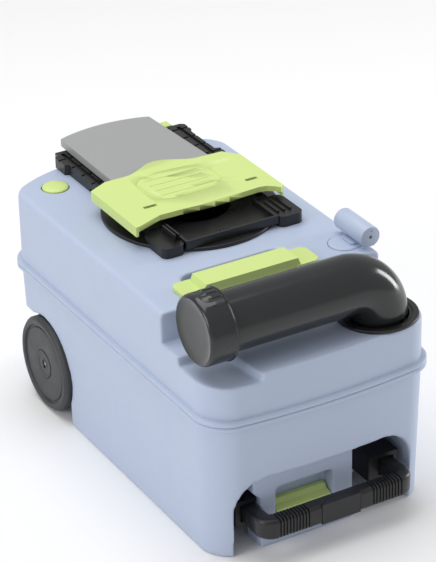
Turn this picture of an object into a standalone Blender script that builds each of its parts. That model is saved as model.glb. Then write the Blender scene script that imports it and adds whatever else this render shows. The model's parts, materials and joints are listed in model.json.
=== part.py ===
"""Wheeled waste-holding tank of a portable camp toilet, as separate solids.

Run with: blender --background --python part.py
+Z is up, the pull-handle end faces -Y, the rollers stand at the +Y end, and the origin lies on
the ground under the middle of the overall box. Sizes are millimetres until a mesh is made.
"""
import math

import bmesh
import bpy
from mathutils import Matrix, Vector

MM = 0.001
GAP = 0.3                   # between touching pieces that don't move
RUN = 0.6                   # between pieces that slide or turn on each other

# ---- driving dimensions ---------------------------------------------------------------------
WIDTH = 251.0               # over the seam flange
LENGTH = 406.0              # corner line to corner line of the seam flange
SEAM_Z = 148.8              # parting line of the two tank halves
DECK_Z = 229.2              # top deck
STEP_Z = 197.0              # lower deck under the pour-out spout
WALL = 3.0
FLANGE = 3.8                # how far the seam flange stands out of the walls
FRONT_BOW = 9.4
REAR_BOW = 30.0
CORNERS = (29.5, 25.0, 13.0, 13.0)     # front left, front right, rear right, rear left
WHEEL_R = 51.0
INLET_R = 40.0              # bore that the bowl empties through
PIPE_R = 29.6               # outer radius of the pour-out spout

FRONT = -211.0              # y of the front corner line
REAR = FRONT + LENGTH
HALF = WIDTH / 2

# ---- places worked out from them -------------------------------------------------------------
INLET = (8.5, FRONT + 266.6)
COLLAR_R = 90.0
COLLAR_TOP = DECK_Z + 3.8
TRAY_TOP = COLLAR_TOP + 9.0
GUARD_TOP = DECK_Z + 21.0
COVER_TOP = DECK_Z + 25.0
SPOUT = (80.5, FRONT + 36.5)
SPOUT_Z = 238.0             # height of the spout's level run
BEND_R = SPOUT_Z - STEP_Z - 3.0
STEP_Y = FRONT + 95.0       # where the deck steps down
WHEEL = (FRONT + 350.3, WHEEL_R)
WHEEL_W = 20.0
POCKET_W = 28.0             # wheel recess, from the flange line inwards
VENT = (100.0, FRONT + 124.0)
BUTTON = (-82.3, FRONT + 386.1)
ARM_X = 78.0                # middle of each handle arm, left and right
ARM_W = 16.0
BAR_Z = (29.5, 51.0)
BAR_Y = (FRONT - 28.3, FRONT - 12.0)
FLOAT_PIVOT = (97.0, FRONT + 190.0, 203.0)
FLOAT_REACH = 92.0
BLADE_AXIS = (INLET[0] - 69.0, INLET[1])
BLADE_Z = (205.0, 209.6)


# ---- tools -----------------------------------------------------------------------------------
def clear():
    for obj in list(bpy.data.objects):
        bpy.data.objects.remove(obj, do_unlink=True)


def material(name, colour, roughness=0.45, metallic=0.0):
    mat = bpy.data.materials.get(name) or bpy.data.materials.new(name)
    mat.use_nodes = True
    shader = mat.node_tree.nodes["Principled BSDF"]
    shader.inputs["Base Color"].default_value = (*colour, 1.0)
    shader.inputs["Roughness"].default_value = roughness
    shader.inputs["Metallic"].default_value = metallic
    return mat


def finish(name, bm, mat, origin=(0, 0, 0), smooth=False):
    """Turn a bmesh in millimetres into an object whose origin is at the given point."""
    bmesh.ops.remove_doubles(bm, verts=bm.verts, dist=0.001)
    bmesh.ops.recalc_face_normals(bm, faces=bm.faces)
    bmesh.ops.translate(bm, verts=bm.verts, vec=-Vector(origin))
    bmesh.ops.scale(bm, verts=bm.verts, vec=(MM, MM, MM))
    mesh = bpy.data.meshes.new(name)
    bm.to_mesh(mesh)
    bm.free()
    obj = bpy.data.objects.new(name, mesh)
    obj.location = Vector(origin) * MM
    bpy.context.scene.collection.objects.link(obj)
    if mat:
        mesh.materials.append(mat)
    if smooth:
        mesh.shade_smooth()
        mesh.set_sharp_from_angle(angle=math.radians(35))
    return obj


def loft(bm, rings, closed=False):
    """Skin rings of equal point counts; the ends are capped unless the rings close on themselves."""
    loops = [[bm.verts.new(p) for p in ring] for ring in rings]
    pairs = list(zip(loops, loops[1:]))
    if closed:
        pairs.append((loops[-1], loops[0]))
    for a, b in pairs:
        for i in range(len(a)):
            j = (i + 1) % len(a)
            bm.faces.new((a[i], a[j], b[j], b[i]))
    if not closed:
        bm.faces.new(loops[0])
        bm.faces.new(loops[-1])
    return bm


def prism(name, points, z0, z1, mat=None, origin=(0, 0, 0), smooth=False):
    """A flat outline in x and y, stretched from z0 to z1."""
    bm = loft(bmesh.new(), [[(x, y, z) for x, y in points] for z in (z0, z1)])
    return finish(name, bm, mat, origin, smooth)


def slab(name, points, axis, a, b, mat=None, origin=(0, 0, 0)):
    """An outline in the two other axes, stretched along 'x' or 'y' from a to b."""
    def place(p, t):
        return (t, p[0], p[1]) if axis == "x" else (p[0], t, p[1])
    bm = loft(bmesh.new(), [[place(p, t) for p in points] for t in (a, b)])
    return finish(name, bm, mat, origin)


def box(name, x, y, z, mat=None, origin=(0, 0, 0)):
    return prism(name, [(x[0], y[0]), (x[1], y[0]), (x[1], y[1]), (x[0], y[1])], *z, mat, origin)


def arc(cx, cy, r, a0, a1, n):
    """n + 1 points on an arc, the angles in degrees."""
    angles = [math.radians(a0 + (a1 - a0) * i / n) for i in range(n + 1)]
    return [(cx + r * math.cos(t), cy + r * math.sin(t)) for t in angles]


def round_box(x, y, r, n=5):
    """Rectangle with round corners, as an outline."""
    corners = ((x[0] + r, y[0] + r, 180), (x[1] - r, y[0] + r, 270),
               (x[1] - r, y[1] - r, 0), (x[0] + r, y[1] - r, 90))
    return [p for cx, cy, a in corners for p in arc(cx, cy, r, a, a + 90, n)]


TURN_AXES = {"x": Matrix.Rotation(math.radians(90), 3, "Y"),
             "y": Matrix.Rotation(math.radians(-90), 3, "X"),
             "z": Matrix.Identity(3)}


def turned(name, profile, centre, axis="z", mat=None, steps=40, ring=False):
    """Spin a profile of (radius, height) points about an axis through centre.

    A ring profile closes on itself; any other profile runs from one flat end to the other.
    """
    turn = TURN_AXES[axis]
    rings = []
    for r, h in profile:
        angles = [2 * math.pi * i / steps for i in range(steps)]
        rings.append([turn @ Vector((r * math.cos(t), r * math.sin(t), h)) + Vector(centre)
                      for t in angles])
    return finish(name, loft(bmesh.new(), rings, closed=ring), mat, centre, smooth=True)


def tube(name, r0, r1, z0, z1, centre, axis="z", mat=None, steps=40):
    """Plain ring between two radii and two heights along its axis."""
    return turned(name, [(r1, z0), (r1, z1), (r0, z1), (r0, z0)], centre, axis, mat, steps, ring=True)


def disc(name, r, z0, z1, centre, axis="z", mat=None, steps=40):
    return turned(name, [(r, z0), (r, z1)], centre, axis, mat, steps)


def combine(obj, others, operation):
    """Add Boolean modifiers; the other objects become hidden tools."""
    for other in others:
        other.hide_render = True
        other.display_type = "WIRE"
        mod = obj.modifiers.new(operation.title(), "BOOLEAN")
        mod.operation = operation
        mod.object = other
        mod.solver = "EXACT"
    return obj


def cut(obj, *tools):
    return combine(obj, tools, "DIFFERENCE")


def join(obj, *tools):
    return combine(obj, tools, "UNION")


BLUE = material("blue_grey_plastic", (0.40, 0.47, 0.62), 0.45)
LIME = material("lime_plastic", (0.66, 0.80, 0.22), 0.40)
BLACK = material("black_plastic", (0.018, 0.018, 0.020), 0.38)
DARK = material("dark_gloss_plastic", (0.030, 0.032, 0.034), 0.16)
GREY = material("grey_plastic", (0.42, 0.42, 0.42), 0.40)
TYRE = material("wheel_plastic", (0.050, 0.052, 0.055), 0.55)
RUBBER = material("black_rubber", (0.012, 0.012, 0.012), 0.70)
STEEL = material("stainless_steel", (0.62, 0.62, 0.60), 0.28, 1.0)
WHITE = material("white_plastic", (0.72, 0.73, 0.72), 0.45)


# ---- tank halves -----------------------------------------------------------------------------
def plan(left, right, front, rear):
    """Outline of the tank in plan, set in by four amounts; both ends are bowed."""
    x0, x1 = -HALF + left, HALF - right
    y0, y1 = FRONT + front, REAR - rear
    ends = ((x0, y0, 180, -FRONT_BOW, 2), (x1, y0, 270, -FRONT_BOW, 2),
            (x1, y1, 0, REAR_BOW, 3), (x0, y1, 90, REAR_BOW, 3))
    mid, half = (x0 + x1) / 2, (x1 - x0) / 2
    points = []
    for i, (x, y, start, bow, power) in enumerate(ends):
        r = CORNERS[i]
        inward_x = r if x < mid else -r
        inward_y = r if bow < 0 else -r
        run = arc(x + inward_x, y + inward_y, r, start, start + 90, 7)
        if i in (0, 2):
            nxt = ends[i + 1][0] + math.copysign(CORNERS[i + 1], mid - ends[i + 1][0])
            run += [(run[-1][0] + (nxt - run[-1][0]) * k / 10, y) for k in range(1, 10)]
        for px, py in run:
            fade = max(0.0, 1 - abs(py - y) / r)
            points.append((px, py + bow * fade * (1 - abs((px - mid) / half) ** power)))
    return points


def stack(name, levels, mat=None):
    """Solid through plan outlines at rising heights: (z, left, right, front, rear)."""
    rings = [[(x, y, z) for x, y in plan(*sides)] for z, *sides in levels]
    return finish(name, loft(bmesh.new(), rings), mat)


def wheel_pocket(name, side, grow):
    """Recess that a roller turns in, open to the ground and to the rear."""
    x = sorted((side * (HALF + 20), side * (HALF - POCKET_W - grow)))
    y, z = WHEEL
    r = WHEEL_R + 3 + grow
    foot = WHEEL_R - 3 + grow           # half length of the opening below the axle
    lift = math.degrees(math.acos(foot / r))
    arch = arc(y, z, r, 180 + lift, 90 - lift, 20)
    points = [(REAR + 60, -9), (y - foot, -9), *arch, (REAR + 60, arch[-1][1])]
    return slab(name, points, "x", *x)


def front_recess(name, grow):
    """Arched opening in the front wall, with its two bays beside the middle block."""
    half, r = 98.5 + grow, 34.0
    top = 83.0 + grow

    def left_side(drop):
        return [(-half, -9), *reversed(arc(-half + r, top - drop - r, r, 112, 180, 7))]

    def right_side(drop):
        return [*reversed(arc(half - r, top - drop - r, r, 0, 90, 8)), (half, -9)]
    crown = [(-half + r, top)]
    opening = slab(name, [*left_side(0), *crown, *right_side(0)], "y", FRONT - 40, FRONT + 6 + grow)
    near, far = FRONT - 5, FRONT + 55 + grow
    block = -68.5 + grow
    left_bay = slab(name + "_left_bay", [*left_side(2), (-77 + grow, 64), (block, 55), (block, -9)], "y", near, far)
    right_bay = slab(name + "_right_bay", [(34.5 - grow, -9), (34.5 - grow, top - 2), *right_side(2)], "y", near, far)
    pocket = slab(name + "_pocket", round_box((-51.5 - grow, 12.5 + grow), (30 - grow, 62 + grow), 5),
                  "y", FRONT - 2, FRONT + 24 + grow)
    return join(opening, left_bay, right_bay, pocket)


def arm_channel(name, side, grow):
    """Closed tunnel that one handle arm slides in."""
    mid = side * ARM_X
    x = (mid - 11 - grow, mid + 11 + grow)
    return box(name, x, (FRONT + 50, FRONT + 250 + grow), (30 - grow, 54 + grow))


def lower_shell():
    outer = stack("lower_shell", (
        (0.0, 7.7, 7.7, 7.7, 7.7), (4.0, 6.9, 6.9, 6.9, 6.9), (141.5, 4.0, 4.0, 4.0, 4.0),
        (142.6, 0.8, 0.8, 0.8, 0.8), (144.0, 0, 0, 0, 0), (SEAM_Z - GAP / 2, 0, 0, 0, 0)), BLUE)
    inside = stack("lower_cavity", (
        (16.0, 12, 12, 12, 12), (142.0, FLANGE + WALL, FLANGE + WALL, FLANGE + WALL, FLANGE + WALL),
        (SEAM_Z + 9, FLANGE + WALL, FLANGE + WALL, FLANGE + WALL, FLANGE + WALL)))
    keep = [front_recess("recess_wall", WALL)]
    keep += [arm_channel(f"channel_wall_{s}", s, WALL) for s in (-1, 1)]
    keep += [wheel_pocket(f"pocket_wall_{s}", s, WALL) for s in (-1, 1)]
    cut(inside, *keep)
    tools = [inside, front_recess("recess", 0)]
    tools += [arm_channel(f"channel_{s}", s, 0) for s in (-1, 1)]
    tools += [wheel_pocket(f"pocket_{s}", s, 0) for s in (-1, 1)]
    tools.append(stack("underside", ((-5, 14, 14, 40, 14), (12.8, 14, 14, 40, 14))))
    tools.append(box("rear_foot", (-HALF - 9, HALF + 9), (WHEEL[0], REAR + 60), (-9, 12)))
    for side in (-1, 1):
        tools.append(disc(f"axle_hole_{side}", 4.0 + GAP, side * (HALF - POCKET_W) - 8,
                          side * (HALF - POCKET_W) + 8, (0, *WHEEL), "x", steps=20))
    return cut(outer, *tools)


def cap_trough(name, grow):
    """Hollow in the front left corner under the spout's cap, round the spout's axis."""
    r = 154.0 - grow
    edge = arc(SPOUT[0], SPOUT[1], r, 170, 197, 8)
    points = [(-HALF - 20, STEP_Y - 31 + grow), (edge[0][0], STEP_Y - 31 + grow), *edge,
              (edge[-1][0], FRONT - 30), (-HALF - 20, FRONT - 30)]
    return prism(name, points, STEP_Z - 8.6 - grow, DECK_Z + 20)


def finger_well(name, grow):
    return prism(name, round_box((-72 - grow, 44 + grow), (FRONT + 108 - grow, FRONT + 152 + grow), 12),
                 DECK_Z - 20 - grow, DECK_Z + 9)


def upper_shell():
    side = FLANGE
    outer = stack("upper_shell", (
        (SEAM_Z + GAP / 2, 0, 0, 0, 0), (153.4, 0, 0, 0, 0), (154.6, 1.0, 1.0, 1.0, 1.0),
        (155.2, side, side, side, side), (224.6, side, side, side, side),
        (227.6, 4.9, 6.0, 5.2, 5.2), (DECK_Z, 8.0, 19.8, 9.0, 9.0)), BLUE)
    wall = side + WALL
    inside = stack("upper_cavity", (
        (SEAM_Z - 9, wall, wall, wall, wall), (222.0, wall, wall, wall, wall),
        (DECK_Z - WALL, 12, 12, 12, 12)))
    far = HALF + 20
    step = box("step", (-far, far), (FRONT - 40, STEP_Y), (STEP_Z, DECK_Z + 20))
    step_wall = box("step_wall", (-far, far), (FRONT - 40, STEP_Y + WALL),
                    (STEP_Z - WALL, DECK_Z + 20))
    cut(inside, step_wall, cap_trough("trough_wall", WALL), finger_well("well_wall", WALL))
    holes = [
        disc("inlet_hole", INLET_R + 17, DECK_Z - 40, DECK_Z + 20, (*INLET, 0)),
        disc("shaft_hole", 5.0, DECK_Z - 20, DECK_Z + 20, (*BLADE_AXIS, 0), steps=20),
        disc("spout_hole", 32.0, STEP_Z - 20, STEP_Z + 9, (*SPOUT, 0)),
        disc("vent_hole", 12.0, DECK_Z - 20, DECK_Z + 9, (*VENT, 0)),
        disc("vent_sink", 16.5, DECK_Z - 1.2, DECK_Z + 9, (*VENT, 0)),
        disc("button_hole", 14.6, DECK_Z - 20, DECK_Z + 9, (*BUTTON, 0)),
    ]
    return cut(outer, inside, step, cap_trough("trough", 0), finger_well("well", 0), *holes)


# ---- slide mechanism on the deck ---------------------------------------------------------------
def collar():
    """Clamp ring with its neck through the deck, and the rubber lip under it."""
    neck = INLET_R + 16.5
    ring = turned("mechanism_collar", [
        (COLLAR_R, DECK_Z + GAP), (COLLAR_R, COLLAR_TOP - 0.8), (COLLAR_R - 1.2, COLLAR_TOP),
        (INLET_R, COLLAR_TOP), (INLET_R, 214.0), (neck, 214.0), (neck, DECK_Z + GAP)],
        (*INLET, 0), mat=BLACK, steps=48, ring=True)
    cut(ring, disc("collar_shaft_hole", 4.0 + RUN, DECK_Z - 9, COLLAR_TOP + 9, (*BLADE_AXIS, 0), steps=20))
    tube("inlet_lip_seal", INLET_R - 2, INLET_R + 11, BLADE_Z[1] + 0.7, 214.0 - GAP,
         (*INLET, 0), mat=RUBBER)


TRAY_X = (-58.0, 77.0)
TRAY_Y = (FRONT + 187.0, FRONT + 334.0)
TRAY_FRONT = (-41.0, 63.6)          # the part that runs out between the shoes
SHOULDER = FRONT + 231.0            # where the housing widens behind them


def tray():
    """Shallow black housing on the collar, with a shoe beside each front corner."""
    base = COLLAR_TOP + GAP

    def outline(inset):
        x0, x1 = TRAY_X[0] + inset, TRAY_X[1] - inset
        f0, f1 = TRAY_FRONT[0] + inset, TRAY_FRONT[1] - inset
        y0, y1, shoulder = TRAY_Y[0] + inset, TRAY_Y[1] - inset, SHOULDER + inset
        return [(f0, y0), (f1, y0), (f1, shoulder), (x1, shoulder), (x1, y1), (x0, y1), (x0, shoulder), (f0, shoulder)]
    body = prism("mechanism_housing", outline(0), base, TRAY_TOP, BLACK)
    cut(body, prism("tray_dish", outline(3), base + 3, TRAY_TOP + 9),
        disc("tray_bore", INLET_R, base - 9, base + 20, (*INLET, 0)),
        disc("tray_shaft_hole", 4.0 + RUN, base - 9, base + 20, (*BLADE_AXIS, 0), steps=20))
    shoe("left_shoe", (-66.0, TRAY_FRONT[0] - GAP), (FRONT + 186.0, SHOULDER - GAP), 240.0, 247.0, (-47.5, -43.5))
    shoe("right_shoe", (TRAY_FRONT[1] + GAP, 91.5), (FRONT + 183.5, SHOULDER - GAP), 241.0, 243.2, (68.0, 75.0, 82.0))


def shoe(name, x, y, floor, top, ridges):
    """Foot that a front corner of the cover parks on, cut away over the clamp ring."""
    body = prism(name, round_box(x, y, 7, 6), DECK_Z + GAP, floor, BLACK)
    walls = [box(f"{name}_ridge_{i}", (at - 1, at + 1), (y[0] + 11, y[1] - 9), (floor - 2, top))
             for i, at in enumerate(ridges)]
    join(body, *walls)
    ring = disc(name + "_ring_gap", COLLAR_R + RUN, DECK_Z - 9, COLLAR_TOP + GAP, (*INLET, 0), steps=64)
    return cut(body, ring)


def rails():
    """Guide rails beside the guard plate, from the housing out to the rear."""
    top = DECK_Z + 11.8
    tracks = (
        ("left_rail", [(-57, 335), (-39, 335), (-38, 437), (-56, 437), (-56, 429), (-61, 427), (-61, 406), (-57, 404)]),
        ("right_rail", [(73, 335), (95.5, 345), (95.5, 356), (90, 358), (90, 411), (93, 412), (93, 427), (89, 430), (74, 430)]))
    for name, points in tracks:
        rail = prism(name, [(x, FRONT + y) for x, y in points], DECK_Z + GAP, top, BLACK)
        x0 = min(x for x, _ in points) - 9
        cut(rail, box(name + "_ring_gap", (x0, x0 + 60), (FRONT + 320, INLET[1] + COLLAR_R + 1),
                      (DECK_Z - 9, COLLAR_TOP + GAP)))


GUARD_STEP = FRONT + 331.0          # nearer than this the guard plate lies lower


def guard_plate():
    """Grey plate that the open cover parks over: crowned far edge, hollow below, low near end."""
    top, base = GUARD_TOP, TRAY_TOP + GAP
    near, far = FRONT + 296.0, FRONT + 446.0

    def outline(inset, near_edge):
        width = 105.1 - 2 * inset
        back = [(-44.3 + inset + width * t, far - inset + 10 * math.sin(math.pi * t) ** 0.8)
                for t in (i / 16 for i in range(17))]
        return [(68.0 - inset, near_edge), *reversed(back), (-46.5 + inset, near_edge)]
    plate = prism("guard_plate", outline(0, near), base, top, GREY)
    cut(plate, prism("guard_hollow", outline(2.5, near - 20), base - 9, top - 5.2),
        prism("guard_far_hollow", outline(2.5, GUARD_STEP + 2.5), base - 9, top - 2.5),
        box("guard_low_end", (-90, 90), (near - 9, GUARD_STEP), (top - 2.7, top + 9)),
        disc("guard_clearance", INLET_R + 1, base - 9, top + 9, (*INLET, 0)))
    box("guard_clip", (70.5, 80), (FRONT + 431, FRONT + 443), (DECK_Z + 3, DECK_Z + 12), LIME)


COVER_X = (-78.5, 91.0)
COVER_FRONT = ((-78.5, 218.5), (-75, 219), (-46, 230), (-20, 229.5), (-2, 228), (15, 227.3), (32, 228.2), (48, 229.8),
               (68, 231), (75.7, 229), (82, 224), (86, 218.5), (91, 222))
COVER_REAR = ((91, 306), (78, 322.7), (50, 324))
COVER_REAR_LEFT = ((-34, 324), (-57, 324), (-78.5, 313))


def sliding_cover():
    """Lime cover with a bulged rear edge, a low front skirt, deeper side skirts and two latch slots."""
    top, sheet, side_skirt, front_skirt = COVER_TOP, 2.4, 10.5, 5.7
    bulge = [(50 - 84 * t, 324 + 16 * math.sin(math.pi * t) ** 2) for t in (i / 16 for i in range(1, 16))]
    points = [(x, FRONT + y) for x, y in (*COVER_FRONT, *COVER_REAR, *bulge, *COVER_REAR_LEFT)]
    cover = prism("sliding_cover", points, top - side_skirt, top, LIME)
    x0, x1 = COVER_X
    inner = [(max(x0 + 3, min(x1 - 3, x)), FRONT + y + 3) for x, y in COVER_FRONT]
    hollow = prism("cover_hollow", [*inner, (x1 - 3, REAR), (x0 + 3, REAR)], top - side_skirt - 9, top - sheet)
    front_gap = box("cover_front_gap", (x0 + 3, x1 - 3), (FRONT + 200, FRONT + 240), (top - side_skirt - 9, top - front_skirt))
    slots = [prism(f"cover_slot_{i}", round_box((x - half, x + half), (y - 2.3, y + 2.3), 1.5, 4), top - 9, top + 9)
             for i, (x, y, half) in enumerate(((-44.5, FRONT + 252, 7.5), (70.8, FRONT + 251.3, 7.0)))]
    cut(cover, hollow, front_gap, *slots)


def valve():
    """Blade that closes the inlet from below, its arm, and the shaft that turns it."""
    reach = INLET[0] - BLADE_AXIS[0]
    eye = arc(0, 0, 9, 100, 260, 6)
    rim = arc(reach, 0, INLET_R + 8, -166, 166, 30)
    points = [(BLADE_AXIS[0] + x, BLADE_AXIS[1] + y) for x, y in eye + rim]
    blade = prism("valve_blade", points, *BLADE_Z, BLACK, origin=(*BLADE_AXIS, 0))
    cut(blade, disc("blade_eye", 4.0 + GAP, BLADE_Z[0] - 9, BLADE_Z[1] + 9, (*BLADE_AXIS, 0), steps=20))
    turned("valve_shaft", [(7.0, BLADE_Z[0] - 4), (7.0, BLADE_Z[0] - GAP), (4.0, BLADE_Z[0] - GAP),
                           (4.0, COLLAR_TOP + 5), (3.0, COLLAR_TOP + 6)],
           (*BLADE_AXIS, 0), mat=BLACK, steps=20)


# ---- pour-out spout ---------------------------------------------------------------------------
CAP_X = (-119.5, -91.0)
CAP_R = 36.0


def spout():
    ring_top = STEP_Z + 3.4
    turned("spout_ring", [(40.5, STEP_Z + GAP), (40.5, ring_top - 1), (39.0, ring_top), (31.0, ring_top),
                          (29.4, 186.0), (31.6, 186.0), (31.6, STEP_Z + GAP)],
           (*SPOUT, 0), mat=BLACK, steps=48, ring=True)
    tube("spout_seal", 25.8 + GAP, 29.2 - GAP, 187.0, 189.6, (*SPOUT, 0), mat=RUBBER)
    steps, around = 9, 28
    level = SPOUT_Z
    corner_x = SPOUT[0] - BEND_R
    mouth = CAP_X[0] + 6.0

    def sweep(radius_run, radius_neck, start_z, extra):
        """Rings from inside the ring, up round the bend and out along -x."""
        stations = [((SPOUT[0], start_z), 90.0, radius_neck),
                    ((SPOUT[0], ring_top + RUN), 90.0, radius_neck),
                    ((SPOUT[0], ring_top + RUN + 0.1), 90.0, radius_run)]
        for i in range(1, steps + 1):
            t = math.radians(90 * i / steps)
            z0 = level - BEND_R + 0.8
            drop = level - z0
            stations.append(((corner_x + BEND_R * math.cos(t), z0 + drop * math.sin(t)),
                             90 + 90 * i / steps, radius_run))
        stations.append(((mouth - extra, level), 180.0, radius_run))
        rings = []
        for (x, z), heading, r in stations:
            h = math.radians(heading)
            side = Vector((math.sin(h), 0, -math.cos(h)))
            rings.append([Vector((x, SPOUT[1], z)) + side * r * math.cos(a) + Vector((0, 1, 0)) * r * math.sin(a)
                          for a in (2 * math.pi * k / around for k in range(around))])
        return rings
    elbow = finish("spout_elbow", loft(bmesh.new(), sweep(PIPE_R, 25.8, 182.0, 0)), DARK,
                   (*SPOUT, 0), smooth=True)
    bore = finish("spout_bore", loft(bmesh.new(), sweep(PIPE_R - 2.8, 23.2, 170.0, 20)), None)
    cut(elbow, bore)


def cap():
    """Screw cap that doubles as the measuring cup, with its washer."""
    centre = (0, SPOUT[1], SPOUT_Z)
    inner = PIPE_R + 1.0
    turned("spout_cap", [(CAP_R - 5, CAP_X[0]), (CAP_R - 1, CAP_X[0] + 3), (CAP_R, CAP_X[0] + 6),
                         (CAP_R, CAP_X[1]), (inner, CAP_X[1]), (inner, CAP_X[0] + 3.2),
                         (0.8, CAP_X[0] + 3.2), (0.8, CAP_X[0] + 1.6), (CAP_R - 9, CAP_X[0] + 1.6)],
           centre, "x", DARK, 40, ring=True)
    plug = bpy.data.objects["spout_cap"]
    join(plug, disc("cap_centre", 1.5, CAP_X[0] + 1.6, CAP_X[0] + 3.2, centre, "x", steps=12))
    tube("cap_washer", 22.0, PIPE_R - 0.6, CAP_X[0] + 3.2 + GAP, CAP_X[0] + 6.0 - GAP, centre, "x", RUBBER)


# ---- grip, vent and button ---------------------------------------------------------------------
def grip():
    """Carrying bar over the finger well, on a rounded foot at each end; hollow below."""
    y = (FRONT + 103.5, FRONT + 130.5)
    z, top = DECK_Z + GAP, 240.5
    bar = slab("carrying_grip", [(-71, z), (39, z), (34.5, top), (-66.5, top)], "y", *y, LIME)
    feet = [prism(f"grip_foot_{i}", round_box(x, (FRONT + 102, FRONT + 134), 8, 6), z, z + 3.8)
            for i, x in enumerate(((-89.5, -62), (30, 59.5)))]
    join(bar, *feet)
    cut(bar, box("grip_hollow", (-60, 28), (FRONT + 107.5, FRONT + 140), (z - 9, 235.3)))


def vent():
    """Turn-to-lock vent plug with its breather barrel."""
    turned("vent_plug", [(11.4, DECK_Z - 14), (11.4, DECK_Z - 1.2 + GAP), (16.0, DECK_Z - 1.2 + GAP),
                         (16.0, DECK_Z + 0.4), (15.2, DECK_Z + 1.0)], (*VENT, 0), mat=BLUE)
    tube("vent_plug_seal", 11.4 + GAP, 13.2, DECK_Z - WALL - 3.2, DECK_Z - WALL - GAP,
         (*VENT, 0), mat=RUBBER)
    y = (FRONT + 99.0, FRONT + 149.0)
    centre = (VENT[0] + 14.3, 0, DECK_Z + 13.1)
    barrel = turned("vent_barrel", [(9.8, y[0]), (11.0, y[0] + 1.2), (11.0, y[1] - 1), (10.2, y[1])],
                    centre, "y", BLUE, 32)
    cut(barrel, disc("breather_hole", 1.8, y[0] - 9, y[0] + 40, centre, "y", steps=16),
        box("barrel_flat", (VENT[0] - 5, VENT[0] + 40), (y[0] - 9, y[1] + 9), (DECK_Z - 9, DECK_Z + 3.4)))
    return box("vent_saddle", (VENT[0] + 2, VENT[0] + 14.3), (FRONT + 114, FRONT + 134),
               (DECK_Z + 1.0 + GAP, DECK_Z + 3.4 - GAP), BLUE)


def button():
    """Pressure-release button with its sleeve, stem, spring and valve washer."""
    x, y = BUTTON
    turned("vent_button", [(8.0, DECK_Z - 9.0), (8.0, DECK_Z - 4.0), (13.6, DECK_Z - 4.0),
                           (13.6, DECK_Z + 1.6), (12.4, DECK_Z + 2.8), (6.0, DECK_Z + 3.4)],
           (x, y, 0), mat=LIME)
    cut(bpy.data.objects["vent_button"], disc("stem_bore", 2.5 + GAP, DECK_Z - 12, DECK_Z - 3, (x, y, 0), steps=20))
    turned("button_sleeve", [(16.8, DECK_Z - 15.0), (16.8, DECK_Z - WALL - GAP), (14.3, DECK_Z - WALL - GAP),
                             (14.3, DECK_Z - 13.0), (3.2, DECK_Z - 13.0), (3.2, DECK_Z - 15.0)],
           (x, y, 0), mat=WHITE, ring=True)
    turned("button_stem", [(2.5, DECK_Z - 18.0), (2.5, DECK_Z - 3 - GAP)], (x, y, 0), mat=WHITE, steps=20)
    tube("button_valve_washer", 2.5 + GAP, 7.0, DECK_Z - 17.4, DECK_Z - 15.4, (x, y, 0), mat=RUBBER)
    spring("button_spring", (x, y, DECK_Z - 12.6), 10.6, 0.5, 7.9, 3)


def spring(name, base, radius, wire, height, turns):
    """Open coil spring as one swept wire."""
    per_turn, around = 16, 6
    total = per_turn * turns
    bm = bmesh.new()
    rings = []
    for i in range(total + 1):
        t = 2 * math.pi * i / per_turn
        z = base[2] + wire + (height - 2 * wire) * i / total
        out = Vector((math.cos(t), math.sin(t), 0))
        mid = Vector((base[0], base[1], z)) + out * radius
        rings.append([mid + out * wire * math.cos(a) + Vector((0, 0, wire)) * math.sin(a)
                      for a in (2 * math.pi * k / around for k in range(around))])
    return finish(name, loft(bm, rings), STEEL, base, smooth=True)


# ---- rollers -----------------------------------------------------------------------------------
def wheels():
    y, z = WHEEL
    for side, tag in ((-1, "left"), (1, "right")):
        centre = (0, y, z + 0.2)
        outer = side * (HALF - 0.4)                 # outer face of the roller
        inner = outer - side * WHEEL_W

        def from_face(depth):
            return outer - side * depth
        turned(f"{tag}_wheel", [
            (WHEEL_R - 3, from_face(0)), (WHEEL_R, from_face(3)), (WHEEL_R, from_face(WHEEL_W - 3)),
            (WHEEL_R - 3, inner), (9.0, inner), (9.0, from_face(13.0)), (5.5 + RUN, from_face(13.0)),
            (5.5 + RUN, from_face(4.0)), (15.0 + GAP, from_face(4.0)), (15.0 + GAP, from_face(1.6)),
            (40.0, from_face(1.6)), (41.5, from_face(2.6)), (43.0, from_face(1.6)), (43.5, from_face(0))],
            centre, "x", TYRE, 40, ring=True)
        turned(f"{tag}_hub_cap", [(15.0, from_face(3.7)), (15.0, from_face(1.4)), (13.5, from_face(0.8)),
                                  (3.4, from_face(0.8)), (3.4, from_face(3.7))],
               centre, "x", TYRE, 40, ring=True)
        turned(f"{tag}_axle", [(4.0, side * (HALF - POCKET_W - 7)), (4.0, side * (HALF - POCKET_W + 0.6)),
                               (7.5, side * (HALF - POCKET_W + 0.6)), (7.5, side * (HALF - POCKET_W + 3.2)),
                               (5.5, side * (HALF - POCKET_W + 3.2)), (5.5, from_face(4.6)),
                               (2.6, from_face(4.6)), (2.6, from_face(2.6))],
               (0, y, z), "x", STEEL, 24)
        tube(f"{tag}_hub_bush", 5.5 + GAP, 9.0 - GAP, from_face(WHEEL_W), from_face(13.0 + GAP),
             centre, "x", WHITE, 24)


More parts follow.
